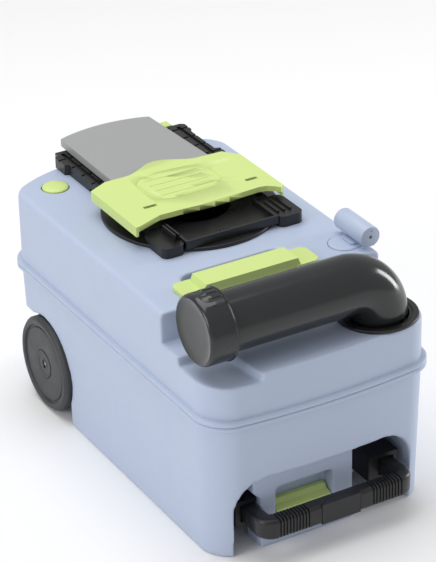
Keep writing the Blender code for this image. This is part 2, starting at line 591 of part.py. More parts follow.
# ---- pull handle -------------------------------------------------------------------------------
def handle():
    """Bow handle: front bar and two arms in one piece, with a thumb catch in the bar."""
    z0, z1 = BAR_Z
    arm_end = FRONT + 232.0
    bar = prism("pull_handle", round_box((-ARM_X - 9, ARM_X + 9), BAR_Y, 8), z0, z1, BLACK,
                origin=(0, BAR_Y[0], 0))
    arms = [box(f"arm_{s}", (s * ARM_X - ARM_W / 2, s * ARM_X + ARM_W / 2), (BAR_Y[1] - 6, arm_end),
                (z0 + 2, z1 - 2)) for s in (-1, 1)]
    join(bar, *arms)
    panel = BAR_Y[0] + 2.0
    bed = z0 + 10.5                     # underside of the catch behind its front panel

    def dee(half, depth):
        """Half-moon in plan: straight along the bar's front, bulging back by depth."""
        r = (half ** 2 + depth ** 2) / (2 * depth)
        turn = math.degrees(math.asin(half / r))
        return arc(0, BAR_Y[0] + depth - r, r, 90 - turn, 90 + turn, 16)
    slot = prism("catch_slot", dee(22.3, 9.4), z0 + 5, z1 + 9)
    face = box("catch_face_slot", (-22.0, 22.0), (BAR_Y[0] - 9, panel + 0.5), (z0 - 9, z1 + 9))
    grooves = [box(f"rib_{i}", (x - 0.7, x + 0.7), (BAR_Y[0] - 9, BAR_Y[0] + 1.0), (z0 - 9, z1 + 9))
               for i, x in enumerate([s * (36.5 + 3.5 * k) for s in (-1, 1) for k in range(10)])]
    cut(bar, slot, face, *grooves)
    catch = prism("handle_catch", dee(21.5, 8.8), bed, z1, BLACK)
    join(catch, box("catch_panel", (-21.5, 21.5), (BAR_Y[0], panel), (z0, z1)))
    spring("catch_spring", (0, BAR_Y[0] + 5.7, z0 + 5 + GAP), 2.5, 0.4, 4.9, 3)
    for side, tag, inner in ((-1, "left", 68.8), (1, "right", 58.0)):
        x = sorted((side * inner, side * 92.0))
        guide = box(f"{tag}_handle_guide", x, (FRONT + 14.0, FRONT + 54.0), (27.0, 54.0), BLACK)
        bore = sorted((side * (60.0 if side < 0 else ARM_X - ARM_W / 2 - RUN), side * (ARM_X + ARM_W / 2 + RUN)))
        cut(guide, box(f"{tag}_guide_bore", bore, (FRONT, FRONT + 90), (z0 + 2 - RUN, z1 - 2 + RUN)))


def pocket_insert():
    """Lime finger piece lining the pocket in the middle block."""
    x, y, z = (-49.7, 10.7), (FRONT + 8.0, FRONT + 23.6), (31.8, 41.0)
    profile = [(y[0], z[0]), (y[1], z[0]), (y[1], z[1]), (y[1] - 5, z[1]), (y[1] - 8, z[0] + 5), (y[0], z[0] + 3)]
    slab("lock_pocket_insert", profile, "x", *x, LIME)


# ---- level gauge -------------------------------------------------------------------------------
def gauge():
    """Float on a swinging arm under the deck."""
    x, y, z = FLOAT_PIVOT
    bracket = box("float_bracket", (x - 7, x + 7), (y - 8, y + 8), (z - 7, DECK_Z - WALL - GAP), WHITE)
    cut(bracket, box("bracket_fork", (x - 3.5, x + 3.5), (y - 9, y + 9), (z - 9, z + 9)),
        disc("bracket_bore", 2.0 + GAP, x - 20, x + 20, (0, y, z), "x", steps=16))
    disc("float_pin", 2.0, x - 6.8, x + 6.8, (0, y, z), "x", STEEL, 16)
    down = math.radians(60)
    along = Vector((0, math.cos(down), -math.sin(down)))
    across = Vector((0, math.sin(down), math.cos(down)))
    pivot = Vector(FLOAT_PIVOT)

    def swept(name, near, far, half_x, half_t, mat):
        bm = bmesh.new()
        rings = []
        for s in (near, far):
            mid = pivot + along * s
            rings.append([mid + Vector((a * half_x, 0, 0)) + across * b * half_t
                          for a, b in ((-1, -1), (1, -1), (1, 1), (-1, 1))])
        return finish(name, loft(bm, rings), mat, FLOAT_PIVOT)
    arm = swept("float_arm", -5.0, FLOAT_REACH - 24.0, 2.6, 4.5, WHITE)
    cut(arm, disc("arm_bore", 2.0 + GAP, x - 9, x + 9, (0, y, z), "x", steps=16))
    swept("float", FLOAT_REACH - 24.0 + GAP, FLOAT_REACH + 14.0, 12.0, 11.0, WHITE)


clear()
lower_shell()
upper_shell()
collar()
tray()
rails()
guard_plate()
sliding_cover()
valve()
spout()
cap()
grip()
vent()
button()
wheels()
handle()
pocket_insert()
gauge()
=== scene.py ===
"""Looks of a camp toilet's wheeled waste tank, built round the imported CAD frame.

Shapes are worked out in millimetres from the CAD boxes and turned into metres when a mesh is made.
"""

import json
import math

import bmesh
import bpy
from mathutils import Matrix, Vector


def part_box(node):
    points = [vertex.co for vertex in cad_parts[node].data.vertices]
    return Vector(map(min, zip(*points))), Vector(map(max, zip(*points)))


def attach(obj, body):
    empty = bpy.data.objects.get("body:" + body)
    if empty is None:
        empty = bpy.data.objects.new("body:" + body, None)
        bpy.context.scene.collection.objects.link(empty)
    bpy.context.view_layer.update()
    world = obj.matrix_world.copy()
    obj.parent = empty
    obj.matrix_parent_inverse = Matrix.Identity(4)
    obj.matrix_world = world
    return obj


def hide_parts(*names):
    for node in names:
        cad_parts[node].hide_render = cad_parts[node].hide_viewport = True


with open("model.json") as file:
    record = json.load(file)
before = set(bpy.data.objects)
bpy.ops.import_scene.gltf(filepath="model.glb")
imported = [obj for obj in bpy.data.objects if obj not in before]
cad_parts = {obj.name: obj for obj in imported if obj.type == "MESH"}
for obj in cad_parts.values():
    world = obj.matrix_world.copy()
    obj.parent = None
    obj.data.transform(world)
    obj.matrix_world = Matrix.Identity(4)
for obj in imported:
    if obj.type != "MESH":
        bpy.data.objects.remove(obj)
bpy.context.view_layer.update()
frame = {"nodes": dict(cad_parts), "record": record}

MM = 0.001


def mm_box(node):
    """Lower and upper corner of a CAD node's box, in millimetres."""
    lo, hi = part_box(node)
    return lo / MM, hi / MM


def middle(node):
    lo, hi = mm_box(node)
    return (lo + hi) / 2


# ---- driving sizes, in millimetres: places are read from the frame, the rest are the part's own ---
FRONT_BOW, REAR_BOW = 9.4, 30.0         # how far the two ends bulge in plan
CORNERS = (29.5, 25.0, 13.0, 13.0)     # front left, front right, rear right, rear left
WALL = 3.0
FLANGE = 3.8                # how far the seam flange stands out of the walls
SEAM_GAP = 0.15             # from the parting line to each half
UP_LO, UP_HI = mm_box("upper_shell")
LOW_HI = mm_box("lower_shell")[1]
HALF = UP_HI.x
FRONT = UP_LO.y + FRONT_BOW             # corner lines of the two ends, without their bows
REAR = UP_HI.y - REAR_BOW
DECK = UP_HI.z
SEAM = (UP_LO.z + LOW_HI.z) / 2
SPOUT = middle("spout_ring")
STEP = mm_box("spout_ring")[1].z - 3.4      # the ring stands 3.4 over the lower deck
STEP_Y = FRONT + 95.0                   # where the deck steps down in front
CAP_LO, CAP_HI = mm_box("spout_cap")
SPOUT_Z = (CAP_LO.z + CAP_HI.z) / 2
INLET = middle("mechanism_collar")
INLET_R = 40.0              # bore of the inlet
COLLAR_NECK = 16.5          # thickness of the clamp ring's neck through the deck
SHAFT_R = 4.6               # clearance round the valve shaft
ARM_X = 78.0                # middle of each handle arm
CHANNEL = {"half": 11.0, "y": (50.0, 250.0), "z": (30.0, 54.0)}         # tunnels of the arms
PIPE_R, PIPE_BORE = 29.6, 26.8          # radii of the spout outside and inside
NECK_R, NECK_BORE = 25.8, 23.2          # the same, where it stands in its ring
RECESS = {"half": 98.5, "top": 83.0, "corner": 34.0, "depth": 6.0, "bay_depth": 55.0}
BLOCK_X = (-68.5, 34.5)     # ends of the middle block in the front recess
POCKET = {"x": (-51.5, 12.5), "z": (30.0, 62.0), "depth": 24.0}         # lock pocket in the block
SHARP = 35.0                # edges over this many degrees are shaded sharp, unless a piece says more


# ---- materials ---------------------------------------------------------------------------------
def node(tree, kind, **values):
    made = tree.nodes.new(kind)
    for key, value in values.items():
        if key in made.inputs:
            made.inputs[key].default_value = value
        else:
            setattr(made, key, value)
    return made


def plastic(name, colour, rough, grain=0.35, grain_size=1.1, mottle=0.04, rough_spread=0.08,
            scuffs=0.0):
    """Moulded plastic: fine mould grain, slow colour drift, uneven gloss and, if asked, rubbed marks.

    The colour is linear, grain_size is in millimetres, and mottle and rough_spread are plus or minus.
    """
    mat = bpy.data.materials.new(name)
    mat.use_nodes = True
    tree = mat.node_tree
    shader = tree.nodes["Principled BSDF"]
    shader.inputs["IOR"].default_value = 1.49
    link = tree.links.new
    place = node(tree, "ShaderNodeTexCoord").outputs["Object"]

    drift = node(tree, "ShaderNodeTexNoise", Scale=9.0, Detail=3.0, Roughness=0.55)
    link(place, drift.inputs["Vector"])
    ramp = node(tree, "ShaderNodeMix", data_type="RGBA")
    ramp.inputs["A"].default_value = (*[c * (1 - mottle) for c in colour], 1)
    ramp.inputs["B"].default_value = (*[min(1.0, c * (1 + mottle)) for c in colour], 1)
    link(drift.outputs["Fac"], ramp.inputs["Factor"])
    link(ramp.outputs["Result"], shader.inputs["Base Color"])

    smear = node(tree, "ShaderNodeTexNoise", Scale=38.0, Detail=5.0, Roughness=0.65, Distortion=0.6)
    link(place, smear.inputs["Vector"])
    level = node(tree, "ShaderNodeMapRange")
    level.inputs["From Min"].default_value = 0.3
    level.inputs["From Max"].default_value = 0.7
    level.inputs["To Min"].default_value = rough - rough_spread
    level.inputs["To Max"].default_value = rough + rough_spread
    link(smear.outputs["Fac"], level.inputs["Value"])
    link(level.outputs["Result"], shader.inputs["Roughness"])

    fine = node(tree, "ShaderNodeTexNoise", Scale=1000.0 / grain_size, Detail=2.0, Roughness=0.6)
    link(place, fine.inputs["Vector"])
    bump = node(tree, "ShaderNodeBump", Strength=grain, Distance=0.00012)
    link(fine.outputs["Fac"], bump.inputs["Height"])
    if scuffs:
        stretch = node(tree, "ShaderNodeMapping")
        stretch.inputs["Scale"].default_value = (1.0, 0.05, 1.0)
        link(place, stretch.inputs["Vector"])
        marks = node(tree, "ShaderNodeTexNoise", Scale=700.0, Detail=1.0)
        link(stretch.outputs["Vector"], marks.inputs["Vector"])
        second = node(tree, "ShaderNodeBump", Strength=scuffs, Distance=0.00006)
        link(marks.outputs["Fac"], second.inputs["Height"])
        link(bump.outputs["Normal"], second.inputs["Normal"])
        bump = second
    link(bump.outputs["Normal"], shader.inputs["Normal"])
    return mat


def steel(name):
    """Stainless steel with a fine grain."""
    mat = plastic(name, (0.60, 0.60, 0.59), 0.28, grain=0.25, grain_size=0.5, mottle=0.03)
    mat.node_tree.nodes["Principled BSDF"].inputs["Metallic"].default_value = 1.0
    return mat


BLUE = plastic("blue_grey_polypropylene", (0.445, 0.515, 0.665), 0.42, grain=0.30, mottle=0.018)
LIME = plastic("lime_polypropylene", (0.600, 0.735, 0.250), 0.40, grain=0.25, mottle=0.02)
BLACK = plastic("black_polypropylene", (0.0100, 0.0100, 0.0112), 0.34, grain=0.35, mottle=0.10)
# The handle guides' black, darker than the other black plastic; it also serves as painted shade filling the
# dark inside of the arm channels.
GUIDE_AND_SHADE = plastic("black_guide_and_painted_shade_plastic", (0.0060, 0.0060, 0.0066), 0.45, grain=0.3, mottle=0.10)
GLOSS = plastic("dark_gloss_plastic", (0.0215, 0.0235, 0.0245), 0.17, grain=0.05, grain_size=3.0,
                mottle=0.05, rough_spread=0.035)
GREY = plastic("grey_polypropylene", (0.330, 0.333, 0.335), 0.42, grain=0.35, mottle=0.02, scuffs=0.15)
WHEEL = plastic("charcoal_wheel_plastic", (0.0400, 0.0425, 0.0455), 0.50, grain=0.5, mottle=0.06)
RUBBER = plastic("black_seal_rubber", (0.0100, 0.0100, 0.0100), 0.66, grain=0.5, mottle=0.10)
WHITE = plastic("natural_white_plastic", (0.68, 0.69, 0.68), 0.42, grain=0.2, mottle=0.02)
STEEL = steel("turned_stainless_steel")

SLOTS = {"blue_plastic": BLUE, "lime_plastic": LIME, "black_plastic": BLACK,
         "dark_gloss_plastic": GLOSS, "grey_plastic": GREY, "wheel_plastic": WHEEL,
         "seal_rubber": RUBBER, "steel": STEEL, "white_plastic": WHITE}
NODE_SLOT = {s["node"]: s["material_slot"] for s in frame["record"]["subparts"]}
NODE_BODY = {n: body for body, names in frame["record"]["behaviour"]["bodies"].items() for n in names}


# ---- mesh tools --------------------------------------------------------------------------------
def finish(name, bm, mat=None):
    """Turn a mesh built in millimetres into an object in metres."""
    bmesh.ops.remove_doubles(bm, verts=bm.verts, dist=0.0005)
    bmesh.ops.recalc_face_normals(bm, faces=bm.faces)
    bmesh.ops.scale(bm, verts=bm.verts, vec=(MM, MM, MM))
    mesh = bpy.data.meshes.new(name)
    bm.to_mesh(mesh)
    bm.free()
    obj = bpy.data.objects.new(name, mesh)
    bpy.context.scene.collection.objects.link(obj)
    if mat:
        mesh.materials.append(mat)
    mesh.shade_smooth()
    mesh.set_sharp_from_angle(angle=math.radians(SHARP))
    return obj


def loft(bm, rings, closed=False):
    """Skin rings of equal point counts; the ends are capped unless the rings close on themselves."""
    loops = [[bm.verts.new(p) for p in ring] for ring in rings]
    pairs = list(zip(loops, loops[1:]))
    if closed:
        pairs.append((loops[-1], loops[0]))
    for a, b in pairs:
        for i in range(len(a)):
            j = (i + 1) % len(a)
            bm.faces.new((a[i], a[j], b[j], b[i]))
    if not closed:
        bm.faces.new(loops[0])
        bm.faces.new(loops[-1])
    return bm


def arc(cx, cy, r, a0, a1, n):
    """n + 1 points on an arc, the angles in degrees."""
    angles = [math.radians(a0 + (a1 - a0) * i / n) for i in range(n + 1)]
    return [(cx + r * math.cos(t), cy + r * math.sin(t)) for t in angles]


def round_box(x, y, r, n=8):
    corners = ((x[0] + r, y[0] + r, 180), (x[1] - r, y[0] + r, 270),
               (x[1] - r, y[1] - r, 0), (x[0] + r, y[1] - r, 90))
    return [p for cx, cy, a in corners for p in arc(cx, cy, r, a, a + 90, n)]


def prism(name, points, z0, z1, mat=None):
    return finish(name, loft(bmesh.new(), [[(x, y, z) for x, y in points] for z in (z0, z1)]), mat)


def slab(name, points, axis, a, b):
    """Outline in the plane across the x or y axis, drawn from a to b along it."""
    def place(p, t):
        return (t, p[0], p[1]) if axis == "x" else (p[0], t, p[1])
    return finish(name, loft(bmesh.new(), [[place(p, t) for p in points] for t in (a, b)]))


def hole(name, r, z0, z1, centre, steps=96):
    """Upright round cutter."""
    return turned(name, [(r, z0), (r, z1)], (centre.x, centre.y, 0), steps=steps, ring=False)


def box(name, x, y, z):
    return prism(name, [(x[0], y[0]), (x[1], y[0]), (x[1], y[1]), (x[0], y[1])], *z)


TURN_AXES = {"x": Matrix.Rotation(math.radians(90), 3, "Y"),
             "y": Matrix.Rotation(math.radians(-90), 3, "X"),
             "z": Matrix.Identity(3)}


def turned(name, profile, centre, axis="z", mat=None, steps=96, ring=True, swell=None):
    """Spin (radius, height) points; swell(angle, radius, height) may push a point outwards."""
    turn = TURN_AXES[axis]
    rings = []
    for r, h in profile:
        ring_points = []
        for i in range(steps):
            t = 2 * math.pi * i / steps
            out = r + (swell(t, r, h) if swell else 0.0)
            ring_points.append(turn @ Vector((out * math.cos(t), out * math.sin(t), h)) + Vector(centre))
        rings.append(ring_points)
    return finish(name, loft(bmesh.new(), rings, closed=ring), mat)


def rounded(points, radii):
    """Closed profile with a small curve at every corner that has a radius."""
    out = []
    n = 4
    count = len(points)
    for i, (p, r) in enumerate(zip(points, radii)):
        if not r:
            out.append(p)
            continue
        p0, p1, p2 = (Vector(points[(i + k) % count]) for k in (-1, 0, 1))
        a, b = (p0 - p1), (p2 - p1)
        reach = min(r, a.length * 0.45, b.length * 0.45)
        a, b = p1 + a.normalized() * reach, p1 + b.normalized() * reach
        for k in range(n + 1):
            t = k / n
            out.append(tuple((1 - t) ** 2 * a + 2 * t * (1 - t) * p1 + t * t * b))
    return out


def bake(obj):
    """Replace the mesh by its evaluated one, so that no modifier is left on the piece."""
    bpy.context.view_layer.update()
    graph = bpy.context.evaluated_depsgraph_get()
    mesh = bpy.data.meshes.new_from_object(obj.evaluated_get(graph), depsgraph=graph)
    obj.modifiers.clear()
    obj.data = mesh
    return obj


def combine(obj, tools, operation):
    for tool in tools:
        mod = obj.modifiers.new("cut", "BOOLEAN")
        mod.operation = operation
        mod.object = tool
        mod.solver = "EXACT"
    bake(obj)
    for tool in tools:
        bpy.data.objects.remove(tool)
    return obj


def cut(obj, *tools):
    return combine(obj, tools, "DIFFERENCE")


def join(obj, *tools):
    return combine(obj, tools, "UNION")


def soften(obj, width, segments=3, angle=SHARP):
    """Round the hard edges of a piece and keep its flats flat."""
    mod = obj.modifiers.new("bevel", "BEVEL")
    mod.width = width * MM
    mod.segments = segments
    mod.limit_method = "ANGLE"
    mod.angle_limit = math.radians(angle)
    mod.harden_normals = False
    mod.use_clamp_overlap = True
    bake(obj)
    obj.data.shade_smooth()
    weigh(obj)
    return obj


def weigh(obj):
    mod = obj.modifiers.new("normals", "WEIGHTED_NORMAL")
    mod.keep_sharp = False
    mod.weight = 60
    return bake(obj)


def mould(obj, voxel, blur, keep):
    """Remesh a sharp solid, blur its edges into moulded fillets, and thin the result."""
    mod = obj.modifiers.new("remesh", "REMESH")
    mod.mode = "VOXEL"
    mod.voxel_size = voxel * MM
    mod.use_smooth_shade = True
    smooth = obj.modifiers.new("blur", "SMOOTH")
    smooth.factor = 0.5
    smooth.iterations = blur
    thin = obj.modifiers.new("thin", "DECIMATE")
    thin.ratio = keep
    bake(obj)
    obj.data.shade_smooth()
    return weigh(obj)


def piece(obj, *nodes, mat=None):
    """Stand a finished piece in for CAD nodes of one body."""
    if mat:
        obj.data.materials.clear()
        obj.data.materials.append(mat)
    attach(obj, NODE_BODY[nodes[0]])
    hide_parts(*nodes)
    return obj


def skin(name):
    """Copy of a CAD node's own mesh, to be dressed and softened."""
    source = frame["nodes"][name]
    obj = bpy.data.objects.new(name + "_skin", source.data.copy())
    obj.matrix_world = source.matrix_world.copy()
    bpy.context.scene.collection.objects.link(obj)
    bpy.context.view_layer.update()
    obj.data.transform(obj.matrix_world)
    obj.matrix_world = Matrix.Identity(4)
    return obj


def softened(name, width, mat=None, segments=2):
    """A CAD node's shape with rounded edges and its finish."""
    obj = soften(skin(name), width, segments)
    return piece(obj, name, mat=mat or SLOTS[NODE_SLOT[name]])


# ---- tank halves -------------------------------------------------------------------------------
def plan(left, right, front, rear, n=14, across=24):
    """Outline of the tank in plan, set in by four amounts; both ends are bowed."""
    x0, x1 = -HALF + left, HALF - right
    y0, y1 = FRONT + front, REAR - rear
    ends = ((x0, y0, 180, -FRONT_BOW, 2), (x1, y0, 270, -FRONT_BOW, 2),
            (x1, y1, 0, REAR_BOW, 3), (x0, y1, 90, REAR_BOW, 3))
    mid, half = (x0 + x1) / 2, (x1 - x0) / 2
    points = []
    for i, (x, y, start, bow, power) in enumerate(ends):
        r = CORNERS[i]
        inward_x = r if x < mid else -r
        inward_y = r if bow < 0 else -r
        run = arc(x + inward_x, y + inward_y, r, start, start + 90, n)
        if i in (0, 2):
            nxt = ends[i + 1][0] + math.copysign(CORNERS[i + 1], mid - ends[i + 1][0])
            run += [(run[-1][0] + (nxt - run[-1][0]) * k / across, y) for k in range(1, across)]
        for px, py in run:
            fade = max(0.0, 1 - abs(py - y) / r)
            points.append((px, py + bow * fade * (1 - abs((px - mid) / half) ** power)))
    return points


def seam_lip(name, z, sign):
    """Crisp half of the seam flange: a flat rim with a small chamfer at the parting line."""
    root = FLANGE + 2.2
    levels = ((0.0, 0.8), (0.6, 0.0), (3.5, 0.0), (4.3, 0.5), (4.9, FLANGE - 0.2), (4.9, root), (0.0, root))
    rings = [[(x, y, z + sign * h) for x, y in plan(inset, inset, inset, inset)] for h, inset in levels]
    return finish(name, loft(bmesh.new(), rings, closed=True))


def stack(name, levels):
    """Solid through plan outlines at rising heights: (z, left, right, front, rear)."""
    rings = [[(x, y, z) for x, y in plan(*sides)] for z, *sides in levels]
    return finish(name, loft(bmesh.new(), rings))


def cap_trough(name, grow):
    """Hollow in the front left corner under the spout's cap, curved round the spout's axis."""
    r = 154.0 - grow
    depth = 8.6 + grow
    back = STEP_Y - 31 + grow
    outside, ahead = -HALF - 20, FRONT - 30
    edge = arc(SPOUT.x, SPOUT.y, r, 170, 197, 24)
    points = [(outside, back), (edge[0][0], back), *edge, (edge[-1][0], ahead), (outside, ahead)]
    return prism(name, points, STEP - depth, DECK + 20)


def finger_well(name, grow):
    """Hollow under the carrying grip."""
    x = (-72 - grow, 44 + grow)
    y = (FRONT + 108 - grow, FRONT + 152 + grow)
    depth = 20 + grow
    return prism(name, round_box(x, y, 12), DECK - depth, DECK + 9)


def upper_shell():
    """Upper tank half: moulded walls and deck, a crisp seam lip, and sharp holes cut last."""
    side = FLANGE
    z = SEAM + SEAM_GAP
    edge_r, right_slope = 5.2, 16.0         # the deck's edge is rounded, and slopes more on the right
    angles = [math.radians(15 * k) for k in range(1, 7)]
    rim = []
    for a in angles:
        height = DECK - edge_r + edge_r * math.sin(a)
        inset = side + 5.0 * (1 - math.cos(a))
        rim.append((height, inset, side + right_slope * math.sin(a) ** 3, inset, inset))
    outer = stack("upper_shell_skin", (
        (z, side, side, side, side), (DECK - edge_r, side, side, side, side), *rim))
    wall = side + WALL
    inside = stack("upper_cavity", (
        (SEAM - 9, wall, wall, wall, wall), (DECK - 7, wall, wall, wall, wall),
        (DECK - WALL, 12, 12, 12, 12)))
    far = HALF + 20
    step_wall = box("step_wall", (-far, far), (FRONT - 40, STEP_Y + WALL), (STEP - WALL, DECK + 20))
    cut(inside, step_wall, cap_trough("trough_wall", WALL), finger_well("well_wall", WALL))
    step = box("step", (-far, far), (FRONT - 40, STEP_Y), (STEP, DECK + 20))
    cut(outer, inside, step, cap_trough("trough", 0), finger_well("well", 0),
        hole("inlet_hole", 58.0, DECK - 40, DECK + 20, INLET),
        hole("spout_hole", 33.0, STEP - 20, STEP + 9, SPOUT))
    mould(outer, 1.35, 9, 0.34)
    join(outer, seam_lip("upper_lip", z, 1))
    sink = 1.2
    vent_at, button_at = middle("vent_plug"), middle("vent_button")
    cut(outer,
        hole("vent_sink", 16.6, DECK - sink, DECK + 9, vent_at),
        hole("vent_hole", 12.2, DECK - 20, DECK + 9, vent_at),
        hole("button_hole", 14.7, DECK - 20, DECK + 9, button_at))
    outer.data.shade_smooth()
    outer.data.set_sharp_from_angle(angle=math.radians(50))
    piece(outer, "upper_shell", mat=BLUE)


def wheel_pocket(name, side, grow):
    """Recess that a roller turns in, open to the ground and to the rear."""
    hub = middle("left_axle")
    lo, hi = mm_box("left_wheel")
    wheel_r = (hi.z - lo.z) / 2
    clearance, width = 3, 28
    x = sorted((side * (HALF + 20), side * (HALF - width - grow)))
    r = wheel_r + clearance + grow
    foot = wheel_r - clearance + grow       # half length of the opening below the axle
    lift = math.degrees(math.acos(foot / r))
    arch = arc(hub.y, hub.z, r, 180 + lift, 90 - lift, 48)
    points = [(REAR + 60, -9), (hub.y - foot, -9), *arch, (REAR + 60, arch[-1][1])]
    return slab(name, points, "x", *x)


def front_recess(name, grow):
    """Arched opening in the front wall, two bays beside its middle block, and the block's pocket."""
    half, r = RECESS["half"] + grow, RECESS["corner"]
    top = RECESS["top"] + grow
    under = -9
    drop = 2                    # the bays' roofs lie this much under the arch

    def left_side(lower):
        return [(-half, under), *reversed(arc(-half + r, top - lower - r, r, 112, 180, 16))]

    def right_side(lower):
        return [*reversed(arc(half - r, top - lower - r, r, 0, 90, 20)), (half, under)]
    opening = slab(name, [*left_side(0), (-half + r, top), *right_side(0)], "y",
                   FRONT - 40, FRONT + RECESS["depth"] + grow)
    near, far = FRONT - 5, FRONT + RECESS["bay_depth"] + grow
    left_end, right_end = BLOCK_X[0] + grow, BLOCK_X[1] - grow
    chamfer = [(-77 + grow, 64), (left_end, 55)]
    left_bay = slab(name + "_left_bay", [*left_side(drop), *chamfer, (left_end, under)], "y", near, far)
    right_bay = slab(name + "_right_bay", [(right_end, under), (right_end, top - drop), *right_side(drop)],
                     "y", near, far)
    pocket_x = (POCKET["x"][0] - grow, POCKET["x"][1] + grow)
    pocket_z = (POCKET["z"][0] - grow, POCKET["z"][1] + grow)
    pocket = slab(name + "_pocket", round_box(pocket_x, pocket_z, 5), "y",
                  FRONT - 2, FRONT + POCKET["depth"] + grow)
    return join(opening, left_bay, right_bay, pocket)


def arm_channel(name, side, grow):
    """Tunnel behind a bay that one handle arm slides in."""
    mid, half = side * ARM_X, CHANNEL["half"] + grow
    (y0, y1), (z0, z1) = CHANNEL["y"], CHANNEL["z"]
    return box(name, (mid - half, mid + half), (FRONT + y0, FRONT + y1 + grow), (z0 - grow, z1 + grow))


def lower_shell():
    """Lower tank half: moulded walls with their recesses, and a crisp seam lip."""
    z = SEAM - SEAM_GAP
    outer = stack("lower_shell_skin", (
        (0.0, 8.4, 8.4, 8.4, 8.4), (1.5, 7.2, 7.2, 7.2, 7.2), (4.0, 6.9, 6.9, 6.9, 6.9),
        (z - 4.0, FLANGE, FLANGE, FLANGE, FLANGE), (z, FLANGE, FLANGE, FLANGE, FLANGE)))
    wall = FLANGE + WALL
    inside = stack("lower_cavity", ((16.0, 12, 12, 12, 12), (z - 6, wall, wall, wall, wall),
                                    (SEAM + 9, wall, wall, wall, wall)))
    keep = [front_recess("recess_wall", WALL)]
    for side in (-1, 1):
        keep.append(arm_channel(f"channel_wall_{side}", side, WALL))
        keep.append(wheel_pocket(f"pocket_wall_{side}", side, WALL))
    cut(inside, *keep)
    tools = [inside, front_recess("recess", 0)]
    for side in (-1, 1):
        tools.append(arm_channel(f"channel_{side}", side, 0))
        tools.append(wheel_pocket(f"pocket_{side}", side, 0))
    tools.append(stack("underside", ((-5, 14, 14, 40, 14), (12.8, 14, 14, 40, 14))))
    tools.append(box("rear_foot", (-HALF - 9, HALF + 9), (middle("left_axle").y, REAR + 60), (-9, 12)))
    cut(outer, *tools)
    mould(outer, 1.5, 5, 0.30)
    join(outer, seam_lip("lower_lip", z, -1))
    outer.data.shade_smooth()
    outer.data.set_sharp_from_angle(angle=math.radians(50))
    piece(outer, "lower_shell", mat=BLUE)


# ---- slide mechanism ---------------------------------------------------------------------------
def collar():
    """Clamp ring of the inlet, with its neck through the deck."""
    lo, hi = mm_box("mechanism_collar")
    r = (hi.x - lo.x) / 2
    neck = INLET_R + COLLAR_NECK
    under, dip = hi.z - 3.5, hi.z - 0.6
    profile = rounded([(r, under), (r, hi.z), (INLET_R + 12, hi.z), (INLET_R + 10, dip), (INLET_R, dip),
                       (INLET_R, lo.z), (neck, lo.z), (neck, under)],
                      [0.4, 1.4, 0.4, 0.3, 0.5, 0.4, 0.4, 0])
    ring = turned("mechanism_collar_skin", profile, (INLET.x, INLET.y, 0), mat=BLACK, steps=128)
    cut(ring, hole("shaft_gap", SHAFT_R, DECK - 9, hi.z + 9, middle("valve_shaft"), 32))
    ring.data.set_sharp_from_angle(angle=math.radians(SHARP))
    piece(ring, "mechanism_collar")


def tray():
    """Housing in the CAD's outline, with three small ribs at its front, and the two shoes."""
    body = skin("mechanism_housing")
    lo = mm_box("mechanism_housing")[0]
    ribs = []
    for k in range(3):
        x = INLET.x - 5 + 4 * k
        section = [(x - 1, lo.z + 2), (x, lo.z + 5.2), (x + 1, lo.z + 2)]
        ribs.append(slab(f"housing_rib_{k}", section, "y", lo.y + 2, lo.y + 12))
    join(body, *ribs)
    soften(body, 0.7, 2)
    piece(body, "mechanism_housing", mat=BLACK)
    softened("left_shoe", 0.7)
    softened("right_shoe", 0.7)


def rails():
    """Guide rails: CAD outline with a track along them and cross slots."""
    pitch, slot = 22, 2.5
    for name in ("left_rail", "right_rail"):
        rail = skin(name)
        lo, hi = mm_box(name)
        mid_x = (lo.x + hi.x) / 2
        grooves = []
        for k in range(4):
            y = lo.y + 16 + pitch * k
            grooves.append(box(f"{name}_slot_{k}", (lo.x - 5, hi.x + 5), (y, y + slot),
                               (hi.z - 1.6, hi.z + 5)))
        grooves.append(box(name + "_track", (mid_x - 3.2, mid_x + 1.2), (lo.y + 4, hi.y - 6),
                           (hi.z - 2.4, hi.z + 5)))
        cut(rail, *grooves)
        soften(rail, 0.5, 2)
        piece(rail, name, mat=BLACK)


def guard_plate():
    softened("guard_plate", 0.8, segments=3)
    softened("guard_clip", 0.9, segments=3)


def cover():
    """Sliding cover in the CAD's outline, with an oval groove and four lines inside it."""
    lo, hi = mm_box("sliding_cover")
    top, over = hi.z, hi.z + 5
    plate = skin("sliding_cover")
    soften(plate, 0.8, 3, 50)
    mid_x, mid_y = (lo.x + hi.x) / 2, FRONT + 284.0

    def oval(scale, z):
        """Rounded oval, 84 by 60 at full scale."""
        ring = []
        n = 96
        for k in range(n):
            c, q = math.cos(2 * math.pi * k / n), math.sin(2 * math.pi * k / n)
            ring.append((mid_x + scale * 42 * math.copysign(abs(c) ** 0.6, c),
                         mid_y + scale * 30 * math.copysign(abs(q) ** 0.7, q), z))
        return ring
    floor, inner = top - 0.35, 0.97
    rings = [oval(1.0, floor), oval(1.0, over), oval(inner, over), oval(inner, floor)]
    groove = finish("cover_groove", loft(bmesh.new(), rings, closed=True))
    lines = []
    for k in range(4):
        y = mid_y - 18 + 12 * k
        lines.append(box(f"cover_line_{k}", (mid_x - 30, mid_x + 30), (y, y + 1), (top - 0.4, over)))
    cut(plate, groove, *lines)
    plate.data.shade_smooth()
    plate.data.set_sharp_from_angle(angle=math.radians(28))
    piece(plate, "sliding_cover", mat=LIME)


